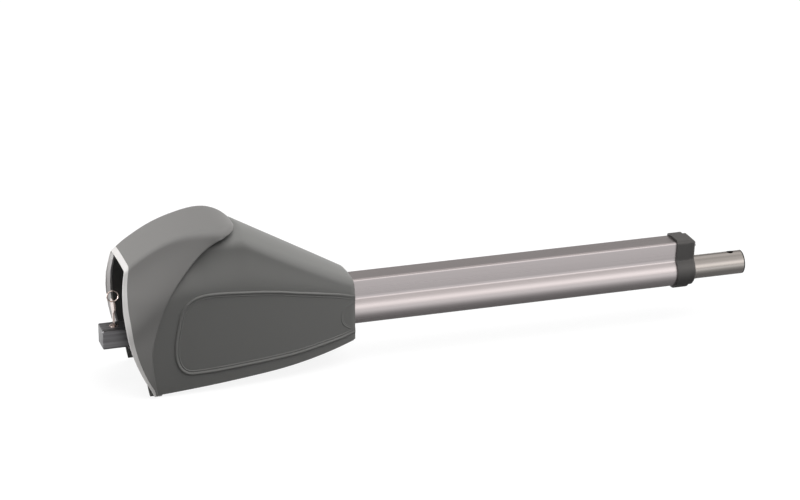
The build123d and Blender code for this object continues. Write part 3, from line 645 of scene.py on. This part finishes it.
# Each finish as (effect, colour, roughness, metallic, the effect's other values). A colour that is
# a word is one of the Finishes.
FINISHES = {
    "hood_plastic": (moulded_grain, "hood", 0.46, 0.0, {"bump": 0.12}),
    "cover_plastic": (moulded_grain, "cover", 0.48, 0.0, {"bump": 0.12}),
    "trim_plastic": (moulded_grain, "trim", 0.5, 0.0, {"bump": 0.08, "tone": 0.03}),
    "dark_plastic": (moulded_grain, (0.02, 0.02, 0.02), 0.6, 0.0, {"bump": 0.15}),
    "dark_rubber": (moulded_grain, (0.012, 0.012, 0.012), 0.75, 0.0, {"bump": 0.2}),
    "white_plastic": (moulded_grain, (0.7, 0.69, 0.66), 0.35, 0.0, {"bump": 0.05}),
    # Near-black as painted shade of the housing's dark inside, on cast parts that would be grey;
    # the grain is the cast finish
    "cast_case": (moulded_grain, (0.05, 0.05, 0.052), 0.55, 0.3, {"bump": 0.5, "grain_scale": 700}),
    "cast_bar": (
        drawn_metal,
        (0.15, 0.147, 0.152),
        0.34,
        0.8,
        {"bump": 0.3, "distance": 0.0004, "across": 190.0, "along": 7.0, "tone": 2.6},
    ),
    "cap_paint": (
        moulded_grain, (0.056, 0.053, 0.051), 0.42, 0.2, {"bump": 0.2, "grain_scale": 900}
    ),
    "motor_paint": (moulded_grain, (0.03, 0.03, 0.033), 0.4, 0.2, {"bump": 0.15}),
    "tube_metal": (drawn_metal, "tube", 0.3, 1.0, {"bump": 0.04, "distance": 0.00005}),
    # The rod carries painted shade: near-black past 0.7991 m along x, for its dark end chamfer
    "rod_metal": (
        drawn_metal,
        "rod",
        0.2,
        1.0,
        {"bump": 0.05, "distance": 0.00005, "tone": 0.3, "dark_end": 0.7991},
    ),
    "machined_steel": (drawn_metal, (0.42, 0.42, 0.43), 0.3, 1.0, {"across": 300.0}),
    "zinc_steel": (moulded_grain, (0.5, 0.5, 0.51), 0.32, 1.0, {"grain_scale": 900}),
    "bronze": (moulded_grain, (0.5, 0.33, 0.16), 0.4, 1.0, {"grain_scale": 900}),
    "key_nickel": (
        moulded_grain, (0.62, 0.52, 0.48), 0.25, 1.0, {"grain_scale": 500, "tone": 0.3}
    ),
}

NODE_FINISHES = {
    "bottom_tray": "dark_plastic",
    "hood_screws": "zinc_steel",
    "tail_bar": "cast_bar",
    "tail_screws": "zinc_steel",
    "gear_case": "cast_case",
    "case_gasket": "dark_rubber",
    "case_cover": "cast_case",
    "case_screws": "zinc_steel",
    "screw_rear_bearing": "machined_steel",
    "screw_front_bearing": "machined_steel",
    "idler_rear_bush": "bronze",
    "idler_front_bush": "bronze",
    "motor_rear_bearing": "machined_steel",
    "motor_front_bearing": "machined_steel",
    "motor_housing": "motor_paint",
    "motor_stator": "motor_paint",
    "motor_end_cap": "cast_case",
    "motor_bolts": "zinc_steel",
    "profile_tube": "tube_metal",
    "tube_flange": "cast_case",
    "flange_screws": "zinc_steel",
    "front_cap": "cap_paint",
    "cap_screws": "zinc_steel",
    "rod_bush": "bronze",
    "wiper_seal": "dark_rubber",
    "capacitor": "white_plastic",
    "capacitor_clip": "dark_plastic",
    "terminal_block": "white_plastic",
    "cable_gland": "dark_plastic",
    "lead_screw": "machined_steel",
    "screw_gear": "machined_steel",
    "gear_circlip": "zinc_steel",
    "idler_shaft": "machined_steel",
    "idler_gear": "machined_steel",
    "idler_pinion": "machined_steel",
    "rotor_shaft": "machined_steel",
    "rotor_core": "motor_paint",
    "motor_pinion": "machined_steel",
    "drive_nut": "bronze",
    "nut_guide": "white_plastic",
    "push_rod": "rod_metal",
    "rod_plug": "rod_metal",
    "lock_barrel": "key_nickel",
    "release_key": "key_nickel",
    "key_ring": "key_nickel",
}


def finish(name):
    """Material of one finish."""
    effect, color, roughness, metallic, values = FINISHES[name]
    if isinstance(color, str):
        color = getattr(bpy.context.scene.opener_finishes, color)
    return finish_material(name, effect(), tuple(color), roughness, metallic, **values)


class OPENER_OT_node_finishes(bpy.types.Operator):
    """Give each CAD node that no piece replaces its finish"""

    bl_idname = "opener.node_finishes"
    bl_label = "Node finishes"

    def execute(self, context):
        for name, its_finish in NODE_FINISHES.items():
            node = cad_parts[name]
            node.data.materials.clear()
            node.data.materials.append(finish(its_finish))
        return {"FINISHED"}


def trim_columns(depth):
    """Where the pale strip starts and ends on each column of the hood, and where the hood ends."""
    columns = []
    for column in range(COLUMNS):
        front = column_end(hood_section, column, SEAM, 5, HOOD_NOSE)
        rim = column_end(hood_section, column, RIM, -16, 60)
        start = min(rim, front - TRIM_START_BEHIND)
        height = hood_section(start)[column][1]
        widened = 0.5 + 0.5 * share(height, *TRIM_WIDENS)
        end = min(start + depth / MM * widened, front - TRIM_END_BEHIND)
        columns.append((start, end, front))
    return columns


class OPENER_OT_rear_hood(bpy.types.Operator):
    """Build the rear hood with its rolled front edge"""

    bl_idname = "opener.rear_hood"
    bl_label = "Rear hood"

    def execute(self, context):
        sizes = context.scene.opener_sizes
        columns = trim_columns(sizes.trim_depth)
        starts = [end + HOOD_PAST_TRIM for _, end, _ in columns]
        fronts = [front for _, _, front in columns]
        grid = surface_grid(hood_section, starts, fronts, HOOD_ROWS)
        hood = shell_mesh("hood_shell", grid, sizes.wall, sizes.edge_radius)
        dress(hood, "rear_hood", "root", finish("hood_plastic"))
        return {"FINISHED"}


class OPENER_OT_rear_trim(bpy.types.Operator):
    """Build the pale strip round the housing's open back"""

    bl_idname = "opener.rear_trim"
    bl_label = "Rear trim"

    def execute(self, context):
        sizes = context.scene.opener_sizes
        columns = trim_columns(sizes.trim_depth)
        starts = [start for start, _, _ in columns]
        ends = [end for _, end, _ in columns]
        grid = surface_grid(hood_section, starts, ends, TRIM_ROWS)
        thick, thin = TRIM_WALLS * sizes.wall, TRIM_REAR_WALLS * sizes.wall
        trim = shell_mesh("trim_strip", grid, thick, sizes.edge_radius, thin)
        dress(trim, "rear_trim", "root", finish("trim_plastic"))
        return {"FINISHED"}


def keyhole_outline(grow, round_points):
    """Points (y, z) of the tube's outline, grown by one distance, from the bottom round."""
    lobe, waist = TUBE_LOBE + grow, TUBE_WAIST + grow
    top_half, top = TUBE_TOP_HALF + grow, TUBE_TOP + grow
    meet = math.asin(waist / lobe)
    points = []
    for i in range(round_points):
        turn = -math.pi / 2 + (math.pi - meet) * i / (round_points - 1)
        points.append((lobe * math.cos(turn), lobe * math.sin(turn)))
    points += [(waist, TUBE_WAIST_TOP), (top_half, top - TUBE_BEVEL)]
    points += [(top_half - TUBE_BEVEL, top), (0.0, top)]
    return points + [(-y, z) for y, z in reversed(points[1:-1])]


def outline_reach(outline, centre, angle):
    """Distance from the centre to an outline along one direction."""
    direction = (math.cos(angle), math.sin(angle))
    best = 0.0
    for (y1, z1), (y2, z2) in zip(outline, outline[1:] + outline[:1]):
        ey, ez = y2 - y1, z2 - z1
        cross = direction[0] * ez - direction[1] * ey
        if abs(cross) < 1e-9:
            continue
        dy, dz = y1 - centre[0], z1 - centre[1]
        distance = (dy * ez - dz * ey) / cross
        part = (dy * direction[1] - dz * direction[0]) / cross
        if distance > 0 and -1e-6 <= part <= 1 + 1e-6:
            best = max(best, distance)
    return best


def cover_surface():
    """Grid of the cover's outside, with its front edge rounded over."""
    # The cover starts under the hood, behind the seam
    lap = [(z + 3, x - 9) for z, x in SEAM]
    starts = [column_end(cover_section, c, lap, 8, 120) for c in range(COLUMNS)]
    ends = [COVER_FRONT - COVER_ROUND] * COLUMNS
    grid = surface_grid(cover_section, starts, ends, COVER_ROWS)
    for step in range(1, ROUND_STEPS + 1):
        turn = math.pi / 2 * step / ROUND_STEPS
        x = COVER_FRONT - COVER_ROUND + COVER_ROUND * math.sin(turn)
        section = cover_section(COVER_FRONT, COVER_ROUND * (1 - math.cos(turn)))
        for line, (y, z) in zip(grid, section):
            line.append(Vector((x, y, z)) * MM)
    return grid


def front_wall():
    """The cover's front wall, open for the tube."""
    outer = list(cover_section(COVER_FRONT, COVER_ROUND))
    low = bottom_height(COVER_FRONT)
    half = outer[-1][0]
    outer += [(half * (1 - 2 * i / 8), low) for i in range(1, 8)]
    keyhole = keyhole_outline(TUBE_GAP, 24)
    vertices, faces = [], []
    for y, z in outer:
        angle = math.atan2(z - TUBE_CENTRE[1], y - TUBE_CENTRE[0])
        reach = outline_reach(keyhole, TUBE_CENTRE, angle)
        hole_y = TUBE_CENTRE[0] + reach * math.cos(angle)
        hole_z = TUBE_CENTRE[1] + reach * math.sin(angle)
        ring = [
            (COVER_FRONT - 0.3, y, z),
            (COVER_FRONT, y + 0.02 * (hole_y - y), z + 0.02 * (hole_z - z)),
            (COVER_FRONT, hole_y + 0.05 * (y - hole_y), hole_z + 0.05 * (z - hole_z)),
            (COVER_FRONT - 0.5, hole_y, hole_z),
            (COVER_FRONT - 2.5, hole_y, hole_z),
            (COVER_FRONT - 2.5, y, z),
        ]
        vertices += [Vector(p) * MM for p in ring]
    count, size = len(outer), len(ring)
    for i in range(count):
        n = (i + 1) % count
        for k in range(size):
            m = (k + 1) % size
            faces.append((size * i + k, size * i + m, size * n + m, size * n + k))
    return mesh_object("cover_front_wall", vertices, faces)


class OPENER_OT_front_cover(bpy.types.Operator):
    """Build the front cover, its rounded front edge and its front wall"""

    bl_idname = "opener.front_cover"
    bl_label = "Front cover"

    def execute(self, context):
        sizes = context.scene.opener_sizes
        cover = shell_mesh("cover_shell", cover_surface(), sizes.wall, COVER_EDGE_RADIUS * MM)
        wall = front_wall()
        material = finish("cover_plastic")
        dress(cover, "front_cover", "root", material)
        dress(wall, None, "root", material)
        return {"FINISHED"}


def cover_side(x, z):
    """Half-width of the cover's outside at one place and height."""
    section = cover_section(x)
    for (y1, z1), (y2, z2) in zip(section, section[1:]):
        if z1 <= z <= z2:
            return -(y1 + (y2 - y1) * (z - z1) / max(z2 - z1, 1e-6))
    return cover_half(x)


def even_curve(points, count):
    """Evenly spaced points on a smooth open curve through the given ones."""
    fine = []
    last = len(points) - 1
    for i in range(last):
        p0, p1, p2, p3 = (Vector(points[min(max(i + k, 0), last)]) for k in (-1, 0, 1, 2))
        for step in range(12):
            t = step / 12
            curve = 2 * p1 + (p2 - p0) * t + (2 * p0 - 5 * p1 + 4 * p2 - p3) * t**2
            fine.append(0.5 * (curve + (3 * p1 - p0 - 3 * p2 + p3) * t**3))
    fine.append(Vector(points[-1]))
    lengths = [0.0]
    for a, b in zip(fine, fine[1:]):
        lengths.append(lengths[-1] + (b - a).length)
    even, k = [], 0
    for i in range(count):
        goal = lengths[-1] * i / (count - 1)
        while k < len(fine) - 2 and lengths[k + 1] < goal:
            k += 1
        part = (goal - lengths[k]) / (lengths[k + 1] - lengths[k])
        even.append(fine[k].lerp(fine[k + 1], part))
    return even


def side_strip(name, side, path, part, width, height):
    """Raised strip along a path on one side of the cover, a part as large as the bead."""
    vertices, faces = [], []
    size, count = len(BEAD_PROFILE), len(path)
    for i, p in enumerate(path):
        along = (path[min(i + 1, count - 1)] - path[max(i - 1, 0)]).normalized()
        grown = STRIP_START + i / STRIP_GROWS
        fade = min(1.0, grown, STRIP_START + (count - 1 - i) / STRIP_FADES)
        for across, rise in BEAD_PROFILE:
            x = p.x + along.y * across * width * part**0.5
            x = min(x, COVER_FRONT - STRIP_BEHIND_FRONT)
            z = p.y - along.x * across * width * part**0.5
            lean = (cover_side(x + 1, z) - cover_side(x - 1, z)) / 2
            out = Vector((-lean, 1, 0)).normalized() * rise * height * fade * part
            vertices.append(Vector((x + out.x, side * (cover_side(x, z) + out.y), z)) * MM)
    for i in range(count - 1):
        n = i + 1
        for k in range(size):
            m = (k + 1) % size
            faces.append((size * i + k, size * i + m, size * n + m, size * n + k))
    faces.append(tuple(range(size)))
    faces.append(tuple(size * (count - 1) + k for k in range(size)))
    return mesh_object(name, vertices, faces, 60)


class OPENER_OT_side_beads(bpy.types.Operator):
    """Lay the double bead and the faint arc on both sides of the front cover"""

    bl_idname = "opener.side_beads"
    bl_label = "Side beads"

    def execute(self, context):
        sizes = context.scene.opener_sizes
        width, height = sizes.bead_width / 2 / MM, sizes.bead_height / MM
        bead, arc = even_curve(BEAD, 240), even_curve(FRONT_ARC, 40)
        for side, name, path, part in (
            (-1, "side_bead_near", bead, 1.0),
            (1, "side_bead_far", bead, 1.0),
            (-1, "front_arc_near", arc, ARC_PART),
            (1, "front_arc_far", arc, ARC_PART),
        ):
            strip = side_strip(name, side, path, part, width, height)
            dress(strip, None, "root", finish("cover_plastic"))
        return {"FINISHED"}


# Stage, in metres

FLOOR_GREY = 0.13
# Painted reflection and painted shade: what glossy rays see of the floor, dark close under the
# part, bright further off
FLOOR_PAINTED_REFLECTION = {"From Min": 0.05, "From Max": 0.2, "To Min": 0.14, "To Max": 0.98}
# What the floor adds to look white to the camera
FLOOR_LIFT = 0.89

WORLD_LIGHT = (0.12, 0.12, 0.123)
# What glossy rays see of the world as (height, level), on the near and on the far side
NEAR_BAND = (
    (0.0, 0.5), (0.06, 0.62), (0.2, 0.95), (0.42, 0.95), (0.66, 0.54), (0.88, 0.5), (1.0, 0.22),
)
FAR_BAND = (
    (0.0, 0.5), (0.1, 0.45), (0.26, 0.2), (0.52, 0.2), (0.76, 0.56), (0.9, 0.54), (1.0, 0.22),
)
BAND_STRENGTH = 2.0
BAND_BLEND = 0.15

SUN_STRENGTH = 4.0
SUN_ANGLE = 72
SUN_DIRECTION = (-0.34, 0.08, -0.94)
# Each softbox as (name, place, point it faces, sides, watts)
SOFTBOXES = (
    ("rear_softbox", (-1.6, 0.0, 0.2), (0.0, 0.0, 0.03), (0.4, 0.4), 30),
    ("front_softbox", (2.1, -1.1, 0.45), (0.1, 0.0, 0.0), (0.8, 0.8), 8),
)

CAMERA_PLACE = (-0.5985, -2.99606, 1.2620)
CAMERA_DOWN = 20.82
CAMERA_TURN = -17.5
CAMERA_LENS = 124.14


def build_floor():
    """Pale floor that keeps the part's shadow."""
    low = cad_box[0][2]
    corners = [(-6, -6, low), (8, -6, low), (8, 8, low), (-6, 8, low)]
    floor = mesh_object("floor", corners, [(0, 1, 2, 3)])
    material = bpy.data.materials.new("studio_floor")
    material.use_nodes = True
    tree = material.node_tree
    shader = tree.nodes["Principled BSDF"]
    shader.inputs["Base Color"].default_value = (FLOOR_GREY, FLOOR_GREY, FLOOR_GREY, 1)
    shader.inputs["Roughness"].default_value = 0.9
    shader.inputs["Specular IOR Level"].default_value = 0.0
    rays = add_node(tree, "LightPath").outputs
    clear = add_node(
        tree,
        "Math",
        {0: rays["Is Camera Ray"], 1: rays["Is Transmission Ray"]},
        operation="MAXIMUM",
    )
    # Painted reflection and painted shade: for glossy rays the floor glows, dark close under the
    # part and bright further off
    place = add_node(tree, "TexCoord")
    apart = add_node(tree, "SeparateXYZ", {0: place.outputs["Object"]})
    away = add_node(tree, "Math", {0: apart.outputs["Y"]}, operation="ABSOLUTE")
    under = add_node(tree, "MapRange", {"Value": away.outputs[0], **FLOOR_PAINTED_REFLECTION})
    painted_reflection = add_node(
        tree,
        "Math",
        {0: rays["Is Glossy Ray"], 1: under.outputs["Result"]},
        operation="MULTIPLY",
    )
    lift = add_node(
        tree,
        "Math",
        {0: clear.outputs[0], 1: FLOOR_LIFT, 2: painted_reflection.outputs[0]},
        operation="MULTIPLY_ADD",
    )
    shader.inputs["Emission Color"].default_value = (1, 1, 1, 1)
    tree.links.new(lift.outputs[0], shader.inputs["Emission Strength"])
    floor.data.materials.append(material)


def level_ramp(tree, height, stops):
    """Colour ramp over the height of a direction, from (height, level) stops."""
    ramp = add_node(tree, "ValToRGB", {"Fac": height})
    steps = ramp.color_ramp.elements
    while len(steps) < len(stops):
        steps.new(0.5)
    for step, (spot, level) in zip(steps, stops):
        step.position = spot
        step.color = (level, 0.975 * level, 0.96 * level, 1)
    return ramp.outputs["Color"]


def build_world(scene):
    """Dim world whose reflections are soft bands, white to the camera."""
    world = bpy.data.worlds.new("studio_world")
    scene.world = world
    world.use_nodes = True
    tree = world.node_tree
    soft = tree.nodes["Background"]
    soft.inputs["Color"].default_value = (*WORLD_LIGHT, 1)
    place = add_node(tree, "TexCoord")
    apart = add_node(tree, "SeparateXYZ", {0: place.outputs["Generated"]}).outputs
    near = level_ramp(tree, apart["Z"], NEAR_BAND)
    far = level_ramp(tree, apart["Z"], FAR_BAND)
    behind = add_node(
        tree, "MapRange", {"Value": apart["Y"], "From Min": -BAND_BLEND, "From Max": BAND_BLEND}
    )
    around = add_node(
        tree, "Mix", {"Factor": behind.outputs["Result"], "A": near, "B": far}, data_type="RGBA"
    )
    bands = add_node(
        tree, "Background", {"Color": around.outputs["Result"], "Strength": BAND_STRENGTH}
    )
    clear = add_node(tree, "Background", {"Color": (1, 1, 1, 1)})
    rays = add_node(tree, "LightPath").outputs
    shown = soft.outputs[0]
    for kind, look in (
        ("Is Glossy Ray", bands),
        ("Is Transmission Ray", clear),
        ("Is Camera Ray", clear),
    ):
        mix = add_node(tree, "MixShader", {"Fac": rays[kind], 1: shown, 2: look.outputs[0]})
        shown = mix.outputs[0]
    tree.links.new(shown, tree.nodes["World Output"].inputs["Surface"])


def facing(direction):
    """Turn of a lamp that shines in one direction."""
    return direction.to_track_quat("-Z", "Y").to_euler()


def build_lamps(scene):
    """Broad light from above, which reflections leave out, and two softboxes."""
    light = bpy.data.lights.new("overhead", "SUN")
    light.energy = SUN_STRENGTH
    light.angle = math.radians(SUN_ANGLE)
    lamp = bpy.data.objects.new("overhead", light)
    lamp.rotation_euler = facing(Vector(SUN_DIRECTION))
    lamp.visible_glossy = False
    scene.collection.objects.link(lamp)
    for name, spot, aim, size, power in SOFTBOXES:
        light = bpy.data.lights.new(name, "AREA")
        light.shape = "RECTANGLE"
        light.size, light.size_y = size
        light.energy = power
        lamp = bpy.data.objects.new(name, light)
        lamp.location = spot
        lamp.rotation_euler = facing(Vector(aim) - Vector(spot))
        scene.collection.objects.link(lamp)


def build_camera(scene):
    """Camera at the photograph's viewing angle."""
    lens = bpy.data.cameras.new("photo_camera")
    lens.lens = CAMERA_LENS
    lens.sensor_width = 36
    camera = bpy.data.objects.new("photo_camera", lens)
    camera.location = CAMERA_PLACE
    camera.rotation_euler = (math.radians(90 - CAMERA_DOWN), 0, math.radians(CAMERA_TURN))
    scene.collection.objects.link(camera)
    scene.camera = camera


class OPENER_OT_stage(bpy.types.Operator):
    """Set the floor, the soft lights and the camera"""

    bl_idname = "opener.stage"
    bl_label = "Stage"

    def execute(self, context):
        build_floor()
        build_world(context.scene)
        build_lamps(context.scene)
        build_camera(context.scene)
        context.scene.view_settings.view_transform = "Standard"
        return {"FINISHED"}


PIECES = (
    OPENER_OT_node_finishes,
    OPENER_OT_rear_hood,
    OPENER_OT_rear_trim,
    OPENER_OT_front_cover,
    OPENER_OT_side_beads,
    OPENER_OT_stage,
)


class OPENER_PT_panel(bpy.types.Panel):
    """Lists the opener's pieces"""

    bl_label = "Gate Opener"
    bl_space_type = "VIEW_3D"
    bl_region_type = "UI"
    bl_category = "Gate Opener"

    def draw(self, context):
        for piece in PIECES:
            self.layout.operator(piece.bl_idname)


CLASSES = (HousingSizes, Finishes, *PIECES, OPENER_PT_panel)


def register():
    for item in CLASSES:
        bpy.utils.register_class(item)
    bpy.types.Scene.opener_sizes = bpy.props.PointerProperty(type=HousingSizes)
    bpy.types.Scene.opener_finishes = bpy.props.PointerProperty(type=Finishes)


def unregister():
    del bpy.types.Scene.opener_finishes
    del bpy.types.Scene.opener_sizes
    for item in reversed(CLASSES):
        bpy.utils.unregister_class(item)


def main():
    register()
    for piece in PIECES:
        group, name = piece.bl_idname.split(".")
        getattr(getattr(bpy.ops, group), name)()


if __name__ == "__main__":
    main()
